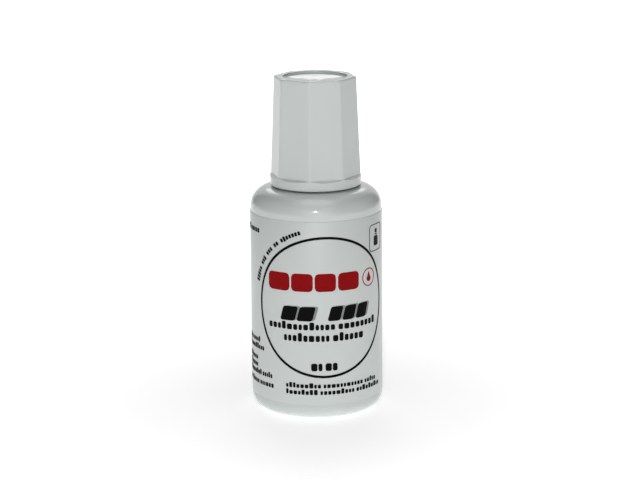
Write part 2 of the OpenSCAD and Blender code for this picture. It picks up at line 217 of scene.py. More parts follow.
# %% Blow-moulded polyethylene
def blown_polyethylene():
    material, tree, output, place = new_material("blow_moulded_hdpe")
    tone = add(tree, "ShaderNodeTexNoise",
               {"Vector": place, "Scale": every(9), "Detail": 2.0}).outputs["Fac"]
    waves = add(tree, "ShaderNodeTexNoise",
                {"Vector": place, "Scale": every(7), "Detail": 1.0}).outputs["Fac"]
    grain = add(tree, "ShaderNodeTexNoise",
                {"Vector": place, "Scale": every(0.35), "Detail": 3.0}).outputs["Fac"]
    y = add(tree, "ShaderNodeSeparateXYZ", {0: place}).outputs["Y"]
    distance = add(tree, "ShaderNodeMath", {0: y}, operation="ABSOLUTE").outputs[0]
    ridge = add(tree, "ShaderNodeMapRange",
                {"Value": distance, "From Min": 0.04 * MM, "From Max": 0.14 * MM,
                 "To Min": 1.0, "To Max": 0.0}).outputs[0]
    wavy = add(tree, "ShaderNodeBump", {"Height": waves, "Strength": 0.5, "Distance": 0.12 * MM})
    grainy = add(tree, "ShaderNodeBump", {"Height": grain, "Strength": 0.12, "Distance": 0.015 * MM,
                                          "Normal": wavy.outputs[0]})
    parted = add(tree, "ShaderNodeBump", {"Height": ridge, "Strength": 0.6, "Distance": 0.05 * MM,
                                          "Normal": grainy.outputs[0]})
    gloss = add(tree, "ShaderNodeMapRange",
                {"Value": grain, "To Min": 0.09, "To Max": 0.14}).outputs[0]
    tint = add(tree, "ShaderNodeMix",
               {MIX_FACTOR: tone, MIX_A: colour("#CDD3D0"), MIX_B: colour("#D3D8D6")},
               data_type="RGBA").outputs[MIX_RESULT]
    shader = add(tree, "ShaderNodeBsdfPrincipled", {
        "Base Color": tint, "Roughness": gloss, "IOR": 1.53,
        "Subsurface Weight": 0.08, "Subsurface Radius": (0.8 * MM, 0.8 * MM, 0.7 * MM),
        "Subsurface Scale": 1.0, "Normal": parted.outputs[0]})
    tree.links.new(shader.outputs[0], output.inputs[0])
    return material


hdpe = blown_polyethylene()
print("material:", hdpe.name)

# %% [markdown]
# The cap is injection-moulded polypropylene from a polished steel mould, so its flats are true and
# glossy. What breaks the gloss is handling: fine scuffs all over. An even noise would look like
# dust, so a stretched one gives the scuffs their length, and a slow one gives the slight sink of
# thick plastic as it cooled.

# %% Injection-moulded polypropylene
def moulded_polypropylene():
    material, tree, output, place = new_material("injection_moulded_polypropylene")
    sink = add(tree, "ShaderNodeTexNoise",
               {"Vector": place, "Scale": every(6), "Detail": 1.0}).outputs["Fac"]
    tone = add(tree, "ShaderNodeTexNoise",
               {"Vector": place, "Scale": every(11), "Detail": 2.0}).outputs["Fac"]
    stretched = add(tree, "ShaderNodeMapping",
                    {"Vector": place, "Scale": (1, 1, 6), "Rotation": (0.4, 0.2, 0)})
    scuffs = add(tree, "ShaderNodeTexNoise", {"Vector": stretched.outputs[0], "Scale": every(1.6),
                                              "Detail": 5.0, "Roughness": 0.65}).outputs["Fac"]
    worn = add(tree, "ShaderNodeMapRange",
               {"Value": scuffs, "From Min": 0.52, "From Max": 0.68}).outputs[0]
    gloss = add(tree, "ShaderNodeMapRange",
                {"Value": worn, "To Min": 0.09, "To Max": 0.2}).outputs[0]
    sunk = add(tree, "ShaderNodeBump", {"Height": sink, "Strength": 0.5, "Distance": 0.08 * MM})
    scuffed = add(tree, "ShaderNodeBump", {"Height": worn, "Strength": 0.2, "Distance": 0.006 * MM,
                                           "Normal": sunk.outputs[0]})
    tint = add(tree, "ShaderNodeMix",
               {MIX_FACTOR: tone, MIX_A: colour("#CED4D1"), MIX_B: colour("#D2D7D6")},
               data_type="RGBA").outputs[MIX_RESULT]
    shader = add(tree, "ShaderNodeBsdfPrincipled", {
        "Base Color": tint, "Roughness": gloss, "IOR": 1.49,
        "Subsurface Weight": 0.06, "Subsurface Radius": (0.7 * MM, 0.7 * MM, 0.6 * MM),
        "Subsurface Scale": 1.0, "Normal": scuffed.outputs[0]})
    tree.links.new(shader.outputs[0], output.inputs[0])
    return material


polypropylene = moulded_polypropylene()
print("material:", polypropylene.name)

# %% [markdown]
# The label is white polyethylene film with an even satin varnish. It could share the bottle's
# plastic, but the eye tells the two apart by their gloss, and the film spreads a reflection wider.
# Its glue and small trapped bubbles show as a very shallow orange peel about a millimetre across.

# %% Label film
def label_film():
    material, tree, output, place = new_material("varnished_polyethylene_film")
    peel = add(tree, "ShaderNodeTexNoise",
               {"Vector": place, "Scale": every(1.2), "Detail": 2.0}).outputs["Fac"]
    slow = add(tree, "ShaderNodeTexNoise",
               {"Vector": place, "Scale": every(14), "Detail": 1.0}).outputs["Fac"]
    gloss = add(tree, "ShaderNodeMapRange",
                {"Value": slow, "To Min": 0.26, "To Max": 0.34}).outputs[0]
    peeled = add(tree, "ShaderNodeBump", {"Height": peel, "Strength": 0.3, "Distance": 0.015 * MM})
    tint = add(tree, "ShaderNodeMix",
               {MIX_FACTOR: slow, MIX_A: colour("#CFD4D2"), MIX_B: colour("#D3D8D6")},
               data_type="RGBA").outputs[MIX_RESULT]
    shader = add(tree, "ShaderNodeBsdfPrincipled", {
        "Base Color": tint, "Roughness": gloss, "IOR": 1.5,
        "Normal": peeled.outputs[0]})
    tree.links.new(shader.outputs[0], output.inputs[0])
    return material


film = label_film()
print("material:", film.name)

# %% [markdown]
# The three inks are flexo printed. A flexo plate squeezes ink out to the edge of a shape and leaves
# the middle a little thinner. A flat colour would look cut from paper, so half-millimetre spots
# change each ink's colour and gloss very slightly. One function serves all three, since only their
# colours differ.

# %% Printing inks
def printing_ink(name, thin, full):
    material, tree, output, place = new_material(name)
    mottle = add(tree, "ShaderNodeTexNoise",
                 {"Vector": place, "Scale": every(0.5), "Detail": 3.0}).outputs["Fac"]
    gloss = add(tree, "ShaderNodeMapRange",
                {"Value": mottle, "To Min": 0.45, "To Max": 0.6}).outputs[0]
    uneven = add(tree, "ShaderNodeBump",
                 {"Height": mottle, "Strength": 0.25, "Distance": 0.01 * MM})
    tint = add(tree, "ShaderNodeMix",
               {MIX_FACTOR: mottle, MIX_A: colour(thin), MIX_B: colour(full)},
               data_type="RGBA").outputs[MIX_RESULT]
    shader = add(tree, "ShaderNodeBsdfPrincipled", {
        "Base Color": tint, "Roughness": gloss, "IOR": 1.5,
        "Specular IOR Level": 0.06, "Normal": uneven.outputs[0]})
    tree.links.new(shader.outputs[0], output.inputs[0])
    return material


black_ink = printing_ink("black_flexo_ink", "#070606", "#030303")
red_ink = printing_ink("red_flexo_ink", "#960C12", "#880609")
grey_ink = printing_ink("grey_flexo_ink", "#8F9492", "#868B89")
print("inks:", black_ink.name, red_ink.name, grey_ink.name)

# %% [markdown]
# The insert in the neck and the brush stem are left in their natural colour. Low-density
# polyethylene without pigment is milky: light enters, scatters and comes out nearby. A paler grey
# would only look painted, so subsurface scattering does it.

# %% Natural polyethylene
def natural_polyethylene():
    material, tree, output, place = new_material("natural_ldpe")
    cloud = add(tree, "ShaderNodeTexNoise",
                {"Vector": place, "Scale": every(2.5), "Detail": 2.0}).outputs["Fac"]
    gloss = add(tree, "ShaderNodeMapRange",
                {"Value": cloud, "To Min": 0.3, "To Max": 0.42}).outputs[0]
    soft = add(tree, "ShaderNodeBump", {"Height": cloud, "Strength": 0.3, "Distance": 0.03 * MM})
    tint = add(tree, "ShaderNodeMix",
               {MIX_FACTOR: cloud, MIX_A: colour("#E3E5E0"), MIX_B: colour("#DADDD8")},
               data_type="RGBA").outputs[MIX_RESULT]
    shader = add(tree, "ShaderNodeBsdfPrincipled", {
        "Base Color": tint, "Roughness": gloss, "IOR": 1.51,
        "Subsurface Weight": 0.35, "Subsurface Radius": (1.6 * MM, 1.5 * MM, 1.2 * MM),
        "Subsurface Scale": 1.0, "Normal": soft.outputs[0]})
    tree.links.new(shader.outputs[0], output.inputs[0])
    return material


ldpe = natural_polyethylene()
print("material:", ldpe.name)

# %% [markdown]
# The washer is cut from expanded polyethylene foam. Its closed cells are about a third of a
# millimetre wide and show on the cut as shallow pits. Modelled one by one they would be thousands
# of faces for a piece that is mostly hidden, so a Voronoi pattern gives them. The same pattern
# also darkens the colour at the middle of each pit, which is painted shade.

# %% Expanded foam
def cut_foam():
    material, tree, output, place = new_material("closed_cell_pe_foam")
    cells = add(tree, "ShaderNodeTexVoronoi",
                {"Vector": place, "Scale": every(0.33)}).outputs["Distance"]
    pitted = add(tree, "ShaderNodeBump", {"Height": cells, "Strength": 0.7, "Distance": 0.08 * MM})
    # Darker at each cell's middle, where the pit is deepest: painted shade in the pits.
    tint = add(tree, "ShaderNodeMix",
               {MIX_FACTOR: cells, MIX_A: colour("#E0DDD2"), MIX_B: colour("#EFEDE4")},
               data_type="RGBA").outputs[MIX_RESULT]
    shader = add(tree, "ShaderNodeBsdfPrincipled", {
        "Base Color": tint, "Roughness": 0.75, "IOR": 1.4,
        "Subsurface Weight": 0.2, "Subsurface Radius": (0.8 * MM, 0.8 * MM, 0.7 * MM),
        "Subsurface Scale": 1.0, "Normal": pitted.outputs[0]})
    tree.links.new(shader.outputs[0], output.inputs[0])
    return material


foam = cut_foam()
print("material:", foam.name)

# %% [markdown]
# Nylon filaments are glossy and slightly amber. The lower part of the brush has stood in the fluid,
# so below a ragged line it is coated white. Two materials on two sets of faces would meet in a
# straight line, so one material changes with the height in Object coordinates, and noise is added
# to that height.

# %% Nylon filament
WET_LINE = 9.5      # millimetres above the bristles' tips


def nylon_filament():
    material, tree, output, place = new_material("nylon_filament")
    streaks = add(tree, "ShaderNodeMapping", {"Vector": place, "Scale": (1, 1, 0.12)}).outputs[0]
    ragged = add(tree, "ShaderNodeTexNoise",
                 {"Vector": streaks, "Scale": every(0.4), "Detail": 2.0}).outputs["Fac"]
    height = add(tree, "ShaderNodeSeparateXYZ", {0: place}).outputs["Z"]
    swing = add(tree, "ShaderNodeMath",
                {0: ragged, 1: 5 * MM, 2: height}, operation="MULTIPLY_ADD").outputs[0]
    line = (tip_z + WET_LINE) * MM
    wet = add(tree, "ShaderNodeMapRange",
              {"Value": swing, "From Min": line + 3.2 * MM, "From Max": line + 1.4 * MM,
               "To Min": 0.0, "To Max": 1.0}).outputs[0]
    gloss = add(tree, "ShaderNodeMapRange",
                {"Value": wet, "To Min": 0.36, "To Max": 0.2}).outputs[0]
    rough = add(tree, "ShaderNodeBump", {"Height": ragged, "Strength": 0.4, "Distance": 0.02 * MM})
    tint = add(tree, "ShaderNodeMix",
               {MIX_FACTOR: wet, MIX_A: colour("#B9AB86"), MIX_B: colour("#EEEEEA")},
               data_type="RGBA").outputs[MIX_RESULT]
    shader = add(tree, "ShaderNodeBsdfPrincipled", {
        "Base Color": tint, "Roughness": gloss, "IOR": 1.53,
        "Normal": rough.outputs[0]})
    tree.links.new(shader.outputs[0], output.inputs[0])
    return material


nylon = nylon_filament()
print("material:", nylon.name)

# %% [markdown]
# Correction fluid is titanium dioxide in a thin resin, the whitest thing here. Wet, it levels to a
# gloss, with slow swirls where the pigment has begun to settle. A still white disc would look like
# wax, and a simulated liquid would be far too much, so a distorted noise draws the swirls.

# %% Wet correction fluid
def wet_fluid():
    material, tree, output, place = new_material("wet_titanium_white_fluid")
    swirl = add(tree, "ShaderNodeTexNoise", {"Vector": place, "Scale": every(5), "Detail": 2.0,
                                             "Distortion": 1.5}).outputs["Fac"]
    ripple = add(tree, "ShaderNodeBump", {"Height": swirl, "Strength": 0.4, "Distance": 0.1 * MM})
    gloss = add(tree, "ShaderNodeMapRange",
                {"Value": swirl, "To Min": 0.12, "To Max": 0.2}).outputs[0]
    tint = add(tree, "ShaderNodeMix",
               {MIX_FACTOR: swirl, MIX_A: colour("#F1F1EE"), MIX_B: colour("#E8E9E5")},
               data_type="RGBA").outputs[MIX_RESULT]
    shader = add(tree, "ShaderNodeBsdfPrincipled", {
        "Base Color": tint, "Roughness": gloss, "IOR": 1.42,
        "Normal": ripple.outputs[0]})
    tree.links.new(shader.outputs[0], output.inputs[0])
    return material


fluid = wet_fluid()
print("material:", fluid.name)

# %% [markdown]
# Two pieces are metal. The mixing ball is stainless bearing steel, polished but finely scratched by
# rattling. The clip that staples the bristles is flat bright wire, rolled, so its lines run one
# way. One metal could serve both, but the direction of their marks is what tells them apart.

# %% Metals
def polished_stainless():
    material, tree, output, place = new_material("polished_stainless_steel")
    scratches = add(tree, "ShaderNodeTexNoise",
                    {"Vector": place, "Scale": every(0.25), "Detail": 6.0,
                     "Distortion": 2.0}).outputs["Fac"]
    gloss = add(tree, "ShaderNodeMapRange",
                {"Value": scratches, "To Min": 0.06, "To Max": 0.2}).outputs[0]
    marked = add(tree, "ShaderNodeBump",
                 {"Height": scratches, "Strength": 0.1, "Distance": 0.004 * MM})
    shader = add(tree, "ShaderNodeBsdfPrincipled", {
        "Base Color": colour("#CFD1D2"), "Metallic": 1.0, "Roughness": gloss,
        "Normal": marked.outputs[0]})
    tree.links.new(shader.outputs[0], output.inputs[0])
    return material


def rolled_wire():
    material, tree, output, place = new_material("rolled_flat_wire")
    along = add(tree, "ShaderNodeMapping", {"Vector": place, "Scale": (0.1, 1, 1)}).outputs[0]
    lines = add(tree, "ShaderNodeTexNoise",
                {"Vector": along, "Scale": every(0.08), "Detail": 4.0}).outputs["Fac"]
    gloss = add(tree, "ShaderNodeMapRange",
                {"Value": lines, "To Min": 0.25, "To Max": 0.4}).outputs[0]
    ruled = add(tree, "ShaderNodeBump", {"Height": lines, "Strength": 0.3, "Distance": 0.004 * MM})
    shader = add(tree, "ShaderNodeBsdfPrincipled", {
        "Base Color": colour("#C4C3BF"), "Metallic": 1.0, "Roughness": gloss,
        "Normal": ruled.outputs[0]})
    tree.links.new(shader.outputs[0], output.inputs[0])
    return material


stainless = polished_stainless()
wire = rolled_wire()
print("metals:", stainless.name, wire.name)

# %% [markdown]
# Every new piece ends the same way. Its doubles are merged, its faces are turned outwards, its hard
# edges are marked, and it is scaled from millimetres to metres before it is tied to its body and
# takes the place of its CAD node. These steps could be repeated for every piece, but one helper
# can't forget any of them, and it counts the open edges as it goes.

# %% Helper that finishes a piece
SHARP = math.radians(38)


def finish_piece(bm, name, material, body, slot, *nodes, crisp=False):
    bmesh.ops.remove_doubles(bm, verts=bm.verts[:], dist=1e-4)
    bmesh.ops.recalc_face_normals(bm, faces=bm.faces[:])
    for face in bm.faces:
        face.smooth = True
    for edge in bm.edges:
        edge.smooth = not edge.is_manifold or edge.calc_face_angle(0) < SHARP
    open_edges = sum(not edge.is_manifold for edge in bm.edges)
    bmesh.ops.scale(bm, vec=(MM, MM, MM), verts=bm.verts[:])
    mesh = bpy.data.meshes.new(name)
    bm.to_mesh(mesh)
    bm.free()
    mesh.materials.append(material)
    piece = bpy.data.objects.new(name, mesh)
    bpy.context.scene.collection.objects.link(piece)
    if crisp:
        weighted = piece.modifiers.new("crisp_flats", "WEIGHTED_NORMAL")
        weighted.keep_sharp = True
    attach(piece, body)
    if nodes:
        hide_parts(*nodes)
    print(f"{name}: {len(mesh.polygons)} faces, {open_edges} open edges")


print("edges sharper than", round(math.degrees(SHARP)), "degrees stay hard")

# %% [markdown]
# Most pieces here are round, and a lathe makes them: a profile of a few points, chosen corners
# rounded by a vertex bevel while the profile is still a wire, then a full spin. Rounding the wire
# first is cheaper than bevelling the finished solid, and the radius of each corner stays a plain
# number beside its point.

# %% Helper that turns a profile
STEPS = 128


def lathe(bm, profile, closed=True, steps=STEPS):
    """Spins points of (radius, height, rounding) round the axis. Rounding 0 keeps a corner."""
    points = [bm.verts.new((r, 0, z)) for r, z, _ in profile]
    pairs = list(zip(points, points[1:]))
    if closed:
        pairs.append((points[-1], points[0]))
    for pair in pairs:
        bm.edges.new(pair)
    made = set(points)
    for point, (_, _, rounding) in zip(points, profile):
        if rounding:
            rounded = bmesh.ops.bevel(bm, geom=[point], offset=rounding,
                                      segments=max(2, round(rounding * 4)), profile=0.5,
                                      affect="VERTICES", material=-1)
            made.update(rounded["verts"])
    made = {v for v in made if v.is_valid}
    edges = {e for v in made for e in v.link_edges}
    bmesh.ops.spin(bm, geom=list(made) + list(edges), cent=(0, 0, 0), axis=(0, 0, 1),
                   angle=2 * math.pi, steps=steps, use_merge=True)


print("a full turn takes", STEPS, "steps")

# %% [markdown]
# The bottle body: a domed base that stands on a ring, a rounded base edge, the straight body, the
# rounded shoulder and the neck. A cube with its edges rounded, or a stack of cylinders, could give
# the outside alone. Blow moulding gives one skin of even thickness, so a profile is drawn instead
# that runs up the outside, over the rim and down the inside, and is turned once round the axis.

# %% Bottle body
SHOULDER_Z = 51.0
NECK_ROOT_Z = 51.2
WALL = 1.0
FLOOR = 1.2
PUSH_UP = 1.2
DOME_R = 9.4
BASE_ROUND = 3.2
SHOULDER_ROUND = 4.4
NECK_R = 7.0
BORE_R = 5.8

cavity_r = body_r - WALL
dome = [(DOME_R * part, PUSH_UP * (1 - part ** 2)) for part in (0, 0.35, 0.7)]

body = bmesh.new()
lathe(body, [(r, z, 0) for r, z in dome] + [
    (DOME_R, 0, 0.3),
    (body_r, 0, BASE_ROUND),
    (body_r, SHOULDER_Z, SHOULDER_ROUND),
    (NECK_R, NECK_ROOT_Z, 0.8),
    (NECK_R, rim_z, 0.3),
    (BORE_R, rim_z, 0.2),
    (BORE_R, SHOULDER_Z - WALL, 2.0),
    (cavity_r, SHOULDER_Z - WALL, SHOULDER_ROUND - WALL),
    (cavity_r, FLOOR, BASE_ROUND - WALL),
    (DOME_R, FLOOR, 0.3)
] + [(r, z + FLOOR, 0) for r, z in reversed(dome)], closed=False)
print("body:", len(body.verts), "points before its thread")

# %% [markdown]
# The neck has one continuous thread of nearly two turns. A few rings round the neck would look much
# the same from far away, but only a helix shows its two ends. So a small cross-section is spun with
# a rise, which the spin operator takes as dvec. The first and last eighth of a turn sink into the
# neck, as a moulded thread's ends do, and the root is inside the neck's wall, so no seam opens.

# %% Thread on the neck
THREAD_PITCH = 3.0
THREAD_TURNS = 1.8
THREAD_STEPS = 48       # in one turn
THREAD_FADE = 6         # steps over which each end sinks into the wall


def thread(bm, root_r, crest_r, foot_z, root_half, crest_half):
    """One helical ridge, with its root and its crest given by radius and half height."""
    steps = round(THREAD_STEPS * THREAD_TURNS)
    corners = [(root_r, -root_half), (crest_r, -crest_half),
               (crest_r, crest_half), (root_r, root_half)]
    points = [bm.verts.new((r, 0, foot_z + z)) for r, z in corners]
    section = bm.faces.new(points)
    spun = bmesh.ops.spin(bm, geom=[section], cent=(0, 0, 0), axis=(0, 0, 1),
                          dvec=(0, 0, THREAD_PITCH * THREAD_TURNS / steps),
                          angle=2 * math.pi * THREAD_TURNS, steps=steps, use_duplicate=False)
    far_end = {v for g in spun["geom_last"] if isinstance(g, bmesh.types.BMFace) for v in g.verts}
    whole = set(points)
    frontier = set(points)
    rows = [list(points)]
    while frontier - far_end:
        frontier = {e.other_vert(v) for v in frontier for e in v.link_edges} - whole
        whole |= frontier
        rows.append(list(frontier))
    for i, row in enumerate(rows):
        part = min(1, i / THREAD_FADE, (len(rows) - 1 - i) / THREAD_FADE)
        for v in row:
            r = math.hypot(v.co.x, v.co.y)
            wanted = root_r + (r - root_r) * math.sin(part * math.pi / 2)
            v.co.x *= wanted / r
            v.co.y *= wanted / r


thread(body, root_r=NECK_R - 0.15, crest_r=7.75, foot_z=54.6, root_half=0.75, crest_half=0.3)
finish_piece(body, "bottle_body", hdpe, "bottle", "bottle_plastic", "bottle")

# %% [markdown]
# Under the bottle, the mould pinches the soft tube shut. That leaves a weld line across the dome,
# in the same plane as the parting line on the sides. It could be one more bump in the material, but
# it stands out far enough to catch the light, so it is a thin bar, cut at a few places so that it
# can follow the dome, and half sunk in it.

# %% Weld line on the base
WELD_LENGTH, WELD_WIDTH, WELD_HEIGHT = 13, 0.5, 0.3

weld = bmesh.new()
bar = bmesh.ops.create_cube(weld, size=1.0)["verts"]
bmesh.ops.scale(weld, vec=(WELD_LENGTH, WELD_WIDTH, WELD_HEIGHT), verts=bar)
bmesh.ops.translate(weld, vec=(0, 0, PUSH_UP), verts=bar)
long_edges = [e for e in weld.edges if e.calc_length() > 1]
bmesh.ops.subdivide_edges(weld, edges=long_edges, cuts=8)
for v in weld.verts:
    v.co.z -= PUSH_UP * (v.co.x / DOME_R) ** 2
finish_piece(weld, "base_weld_line", hdpe, "bottle", "bottle_plastic")

# %% [markdown]
# The label is a film wrapped once round the straight body, with its end lapped over its start at
# the back. Its cut edges stand a little proud of the plastic and show as a faint line round the
# bottle. A change of colour on the body would show no edge there, so the film is a ring of its own
# thickness, and the lap is a second strip over a few degrees. The CAD label's radius is the lap's
# outside, and the film lies under that.

# %% Label and its lap
FILM = 0.09
LAP = 0.05
LAP_DEGREES = 14
LAP_STEPS = 6

film_r = label_r - LAP
wrap = bmesh.new()
lathe(wrap, [(film_r - FILM, label_bottom, 0), (film_r, label_bottom, 0.03),
             (film_r, label_top, 0.03), (film_r - FILM, label_top, 0)])
lap_section = [wrap.verts.new((r, 0, z)) for r, z in (
    (film_r - 0.02, label_bottom + 0.05), (label_r, label_bottom + 0.05),
    (label_r, label_top - 0.05), (film_r - 0.02, label_top - 0.05))]
lap_face = wrap.faces.new(lap_section)
bmesh.ops.rotate(wrap, cent=(0, 0, 0), verts=lap_section,
                 matrix=Matrix.Rotation(math.radians(90 - LAP_DEGREES / 2), 3, "Z"))
bmesh.ops.spin(wrap, geom=[lap_face], cent=(0, 0, 0), axis=(0, 0, 1),
               angle=math.radians(LAP_DEGREES), steps=LAP_STEPS)
finish_piece(wrap, "label_wrap", film, "bottle", "label_film", "label")

# %% [markdown]
# The print is drawn flat first: each shape is a face in a plane where x runs round the label and
# z runs up. Then it is cut into narrow strips, given the thickness of a coat of ink and rolled on
# to the label. The strips matter, because a face wider than about a millimetre would cut through
# the curve instead of lying on it.
#
# Such a layout could come from an image, but an image is fixed in its size and can't follow a
# change of the label, so every shape is drawn. Rows of small rounded blocks give the weight and
# rhythm of a printed package, and bolder blocks give it its two strong lines.

# %% Helpers that draw print flat
INK_FOOT = film_r - 0.01
INK_TOP = film_r + 0.035
STRIP = 0.8


def stamp(bm, x, z, width, height, corner=0.12, lean=0.0, turn=0.0):
    """One rounded block with its middle at (x, z)."""
    made = bmesh.ops.create_grid(bm, x_segments=1, y_segments=1, size=0.5,
                                 matrix=Matrix.Rotation(math.radians(90), 4, "X"))["verts"]
    bmesh.ops.scale(bm, vec=(width, 1, height), verts=made)
    for v in made:
        v.co.x += v.co.z * lean
    bmesh.ops.rotate(bm, cent=(0, 0, 0), verts=made,
                     matrix=Matrix.Rotation(math.radians(-turn), 3, "Y"))
    bmesh.ops.translate(bm, vec=(x, 0, z), verts=made)
    bmesh.ops.bevel(bm, geom=made, offset=min(corner, width / 2.2, height / 2.2), segments=2,
                    profile=0.5, affect="VERTICES", material=-1)


def outline(bm, points, line):
    """A closed line of even width through the points of a ring, drawn inwards."""
    face = bm.faces.new([bm.verts.new((x, 0, z)) for x, z in points])
    face.normal_update()
    bmesh.ops.inset_region(bm, faces=[face], thickness=line, use_boundary=True,
                           use_even_offset=True)
    bmesh.ops.delete(bm, geom=[face], context="FACES")


def roll_on(bm, name, material, slot, node, top=INK_TOP):
    """Cuts flat print into strips, makes it a coat of ink and rolls it on to the label."""
    reach = max(abs(v.co.x) for v in bm.verts)
    for i in range(-int(reach / STRIP) - 1, int(reach / STRIP) + 2):
        bmesh.ops.bisect_plane(bm, geom=bm.verts[:] + bm.edges[:] + bm.faces[:], dist=1e-5,
                               plane_co=(i * STRIP + 0.013, 0, 0), plane_no=(1, 0, 0))
    raised = bmesh.ops.extrude_face_region(bm, geom=bm.faces[:])
    lifted = [g for g in raised["geom"] if isinstance(g, bmesh.types.BMVert)]
    bmesh.ops.translate(bm, vec=(0, -1, 0), verts=lifted)
    for v in bm.verts:
        radius = top if v.co.y < -0.5 else INK_FOOT
        angle = v.co.x / label_r
        v.co.x, v.co.y = radius * math.sin(angle), -radius * math.cos(angle)
    finish_piece(bm, name, material, "bottle", slot, node)


print("ink from", round(INK_FOOT, 3), "to", round(INK_TOP, 3), "mm from the axis")

# %% [markdown]
# A small printed row is a few groups of blocks, and the blocks differ slightly in width and
# height. A seeded random choice varies them, so that the row looks printed rather than ruled, and
# the row is then stretched to end exactly at its right edge. Equal blocks in an array would be
# simpler, but they look like a ruler's marks.

# %% Helper that sets a row of blocks
chance = random.Random(20)


def row(bm, z, height, start, end, groups, gap=0.2, space=0.55):
    """Groups of blocks between two places. Gap and space are parts of the height."""
    widths, places, at = [], [], 0.0
    for group in groups:
        for _ in range(group):
            width = height * chance.choice((0.5, 0.62, 0.62, 0.7, 0.8))
            places.append(at)
            widths.append(width)
            at += width + gap * height
        at += (space - gap) * height
    at -= space * height
    stretch = (end - start) / at
    for place, width in zip(places, widths):
        tall = height * chance.choice((0.72, 0.72, 0.72, 0.72, 1.0))
        stamp(bm, start + (place + width / 2) * stretch, z + (tall - height) / 2 + 0.14 * height,
              width * stretch, tall, corner=0.16 * height)


print("a row of 1.2 mm has blocks of about", round(1.2 * 0.62, 2), "mm")

# %% [markdown]
# The black plate carries the big oval, the large leaning blocks, the small rows under them and at
# the left margin, the row that follows the oval, and the frame at the upper right with a plain
# bottle sign in it. They could be one mesh each, but one plate prints them all in one pass, so
# they are drawn into one mesh and rolled on together.

# %% Black print
OVAL_X = -0.3
OVAL_Z = 26.2
OVAL_HALF_W = 16.75
OVAL_HALF_H = 16.2
OVAL_LINE = 0.58
OVAL_STEPS = 120

black = bmesh.new()
outline(black, [(OVAL_X + OVAL_HALF_W * math.cos(a), OVAL_Z + OVAL_HALF_H * math.sin(a))
                for a in (2 * math.pi * i / OVAL_STEPS for i in range(OVAL_STEPS))], OVAL_LINE)

DISPLAY_Z = 24.8
DISPLAY_H = 3.3
DISPLAY_LEAN = 0.27
DISPLAY_CORNER = 0.5
display = [(-8.6, 3.6), (-4.6, 3.6), (2.1, 2.9), (5.5, 2.9), (8.9, 2.9)]    # middle and width
for x, width in display:
    stamp(black, x, DISPLAY_Z, width, DISPLAY_H, DISPLAY_CORNER, DISPLAY_LEAN)

row(black, 21.75, 1.8, -14.0, 13.2, [13, 8])
row(black, 19.15, 2.0, -9.9, 9.2, [9, 6])
row(black, 12.55, 2.45, -3.55, 2.45, [2, 2], gap=0.12, space=0.4)
row(black, 8.1, 1.2, -9.5, 13.7, [9, 11, 5])
row(black, 6.55, 1.2, -9.5, 15.4, [8, 9, 9])

LEFT_EDGE, LEFT_H = -33.5, 1.35
left_rows = [(17.0, -17.7, [6, 9, 5]), (15.3, -16.1, [8, 4, 9]), (12.7, -18.9, [5, 8, 5]),
             (11.05, -18.9, [9, 3, 6]), (9.4, -13.4, [4, 8, 9, 5]), (7.2, -13.0, [7, 6, 5, 6])]
for z, end, groups in left_rows:
    row(black, z, LEFT_H, LEFT_EDGE, end, groups)
row(black, 42.4, 1.5, -24.5, -17.4, [3, 5])

CURVE_FROM, CURVE_TO, CURVE_GAP = 165, 107, 1.65       # degrees on the oval, and mm outside it
CURVE_H, CURVE_W, CURVE_CORNER = 1.2, 0.6, 0.15
CURVE_GROUPS = [5, 3, 3, 2, 7]
slots = sum(CURVE_GROUPS) + len(CURVE_GROUPS) - 1
spot = 0
for group in CURVE_GROUPS:
    for _ in range(group):
        a = math.radians(CURVE_FROM + (CURVE_TO - CURVE_FROM) * (spot + 0.5) / slots)
        tall = CURVE_H * chance.choice((0.75, 0.75, 1.0))
        stamp(black, OVAL_X + (OVAL_HALF_W + CURVE_GAP) * math.cos(a),
              OVAL_Z + (OVAL_HALF_H + CURVE_GAP) * math.sin(a), CURVE_W, tall, CURVE_CORNER,
              turn=math.degrees(a) - 90)
        spot += 1
    spot += 1
print("black plate so far:", len(black.faces), "shapes")

# %% [markdown]
# The frame is a rounded square drawn as an outline. Its corners are quarter circles of five points,
# because a bevel would round the inner and the outer line alike and leave the corners too heavy.
# The sign in it is a small bottle made of three stamps.

# %% Frame with a plain bottle sign
SIGN_X, SIGN_Z, SIGN_W, SIGN_H = 14.3, 40.5, 5.6, 6.2
SIGN_LINE, SIGN_CORNER = 0.19, 1.0

corners = []
for cx, cz, first in ((1, 1, 0), (-1, 1, 90), (-1, -1, 180), (1, -1, 270)):
    for k in range(5):
        a = math.radians(first + 22.5 * k)
        corners.append((SIGN_X + cx * (SIGN_W / 2 - SIGN_CORNER) + SIGN_CORNER * math.cos(a),
                        SIGN_Z + cz * (SIGN_H / 2 - SIGN_CORNER) + SIGN_CORNER * math.sin(a)))
outline(black, corners, SIGN_LINE)
stamp(black, SIGN_X, SIGN_Z - 0.75, 2.0, 2.3, corner=0.45)
stamp(black, SIGN_X, SIGN_Z + 0.72, 1.1, 0.3, corner=0.08)
stamp(black, SIGN_X, SIGN_Z + 1.5, 0.95, 0.95, corner=0.15)
roll_on(black, "black_print", black_ink, "black_ink", "print_black")

# %% [markdown]
# Grey is a drop shadow: the leaning blocks again, moved a little to the right and printed first, so
# only a sliver of each shows. The slivers could be cut out as shapes of their own, but whole blocks
# a touch lower than the black need no cutting, because the black covers the rest.

# %% Grey print
SHADOW_ACROSS, SHADOW_UP = 0.6, 0.12
SHADOW_UNDER = 0.012               # how far the grey lies under the black

grey = bmesh.new()
for x, width in display:
    stamp(grey, x + SHADOW_ACROSS, DISPLAY_Z + SHADOW_UP, width, DISPLAY_H, DISPLAY_CORNER,
          DISPLAY_LEAN)
roll_on(grey, "grey_print", grey_ink, "grey_ink", "print_grey", top=INK_TOP - SHADOW_UNDER)

